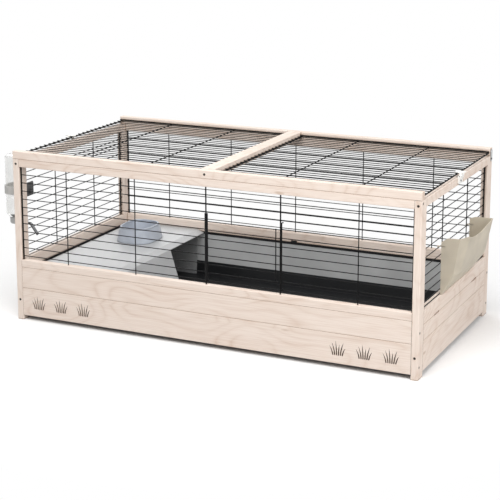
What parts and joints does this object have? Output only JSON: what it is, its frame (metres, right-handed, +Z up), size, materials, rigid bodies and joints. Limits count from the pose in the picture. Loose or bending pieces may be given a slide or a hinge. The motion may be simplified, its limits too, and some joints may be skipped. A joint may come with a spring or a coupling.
{
  "type": "rodent cage",
  "caption": "Long wooden-framed wire cage for small rodents with a hinged wire lid, front door, litter tray, den with a flat top, bowl, hay rack and water bottle.",
  "frame": {"origin": "on the floor, under the middle of the wooden frame", "axes": "+X to the right as seen from the front, +Y from the front to the back, +Z up"},
  "size_m": [1.3788, 0.645, 0.51],
  "materials": {
    "whitewashed_wood": "thin white wash over pine",
    "black_wire": "black coated wire",
    "steel": "plain bright steel",
    "white_plastic": "smooth white",
    "grey_liner": "matte grey sheet",
    "black_plastic": "matte black",
    "grey_plastic": "fine grained grey",
    "blue_grey_plastic": "smooth blue grey",
    "sand_plastic": "slightly clear sand colour",
    "clear_plastic": "clear moulded plastic"
  },
  "bodies": {
    "cage_frame": {"post_front_left": "whitewashed_wood", "post_front_right": "whitewashed_wood", "post_back_left": "whitewashed_wood", "post_back_right": "whitewashed_wood", "front_upper_board": "whitewashed_wood", "front_lower_board": "whitewashed_wood", "back_upper_board": "whitewashed_wood", "back_lower_board": "whitewashed_wood", "left_upper_board": "whitewashed_wood", "left_lower_board": "whitewashed_wood", "right_upper_board": "whitewashed_wood", "right_lower_board": "whitewashed_wood", "front_top_rail": "whitewashed_wood", "back_top_rail": "whitewashed_wood", "left_top_rail": "whitewashed_wood", "right_top_rail": "whitewashed_wood", "front_grille_left": "black_wire", "front_grille_right": "black_wire", "front_grille_top": "black_wire", "front_grille_sill": "black_wire", "back_grille": "black_wire", "left_grille": "black_wire", "right_grille": "black_wire", "hinge_bracket_left": "steel", "hinge_bracket_right": "steel", "catch_base_left": "white_plastic", "catch_base_right": "white_plastic", "catch_pins": "steel", "liner_front": "grey_liner", "liner_back": "grey_liner", "liner_left": "grey_liner", "liner_right": "grey_liner", "liner_strip_front": "black_plastic", "liner_strip_back": "black_plastic", "liner_strip_left": "black_plastic", "liner_strip_right": "black_plastic", "liner_clips": "white_plastic", "bottle": "clear_plastic", "bottle_cap": "grey_plastic", "bottle_nozzle": "steel", "bottle_holder": "grey_plastic", "clamp_plate": "grey_plastic", "clamp_bolt": "black_plastic"},
    "lid": {"lid_front_rail": "whitewashed_wood", "lid_back_rail": "whitewashed_wood", "lid_centre_beam": "whitewashed_wood", "lid_grille_left": "black_wire", "lid_grille_right": "black_wire"},
    "door": {"front_door": "black_wire"},
    "left_catch": {"catch_hook_left": "white_plastic"},
    "right_catch": {"catch_hook_right": "white_plastic"},
    "tray": {"litter_tray": "black_plastic"},
    "den": {"den_platform": "grey_plastic"},
    "bowl": {"food_bowl": "blue_grey_plastic"},
    "rack": {"hay_rack": "sand_plastic"}
  },
  "joints": [
    {"name": "lid_hinge", "type": "hinge", "parent": "cage_frame", "child": "lid", "pos_m": [0, 0.3125, 0.4985], "axis": [-1, 0, 0], "range_deg": [0, 95]},
    {"name": "door_hinge", "type": "hinge", "parent": "cage_frame", "child": "door", "pos_m": [0, -0.3135, 0.2935], "axis": [0, 0, -1], "range_deg": [0, 130]},
    {"name": "right_catch_pivot", "type": "hinge", "parent": "cage_frame", "child": "right_catch", "pos_m": [0.63, 0, 0.491], "axis": [0, 1, 0], "range_deg": [0, 70]},
    {"name": "left_catch_pivot", "type": "hinge", "parent": "cage_frame", "child": "left_catch", "pos_m": [-0.63, 0, 0.491], "axis": [0, -1, 0], "range_deg": [0, 70]},
    {"name": "tray_lift", "type": "slide", "parent": "cage_frame", "child": "tray", "axis": [0, 0, 1], "range_m": [0, 0.03]},
    {"name": "den_lift", "type": "slide", "parent": "tray", "child": "den", "axis": [0, 0, 1], "range_m": [0, 0.045]},
    {"name": "bowl_lift", "type": "slide", "parent": "den", "child": "bowl", "axis": [0, 0, 1], "range_m": [0, 0.19]},
    {"name": "rack_lift", "type": "slide", "parent": "cage_frame", "child": "rack", "axis": [0, 0, 1], "range_m": [0, 0.015]}
  ]
}
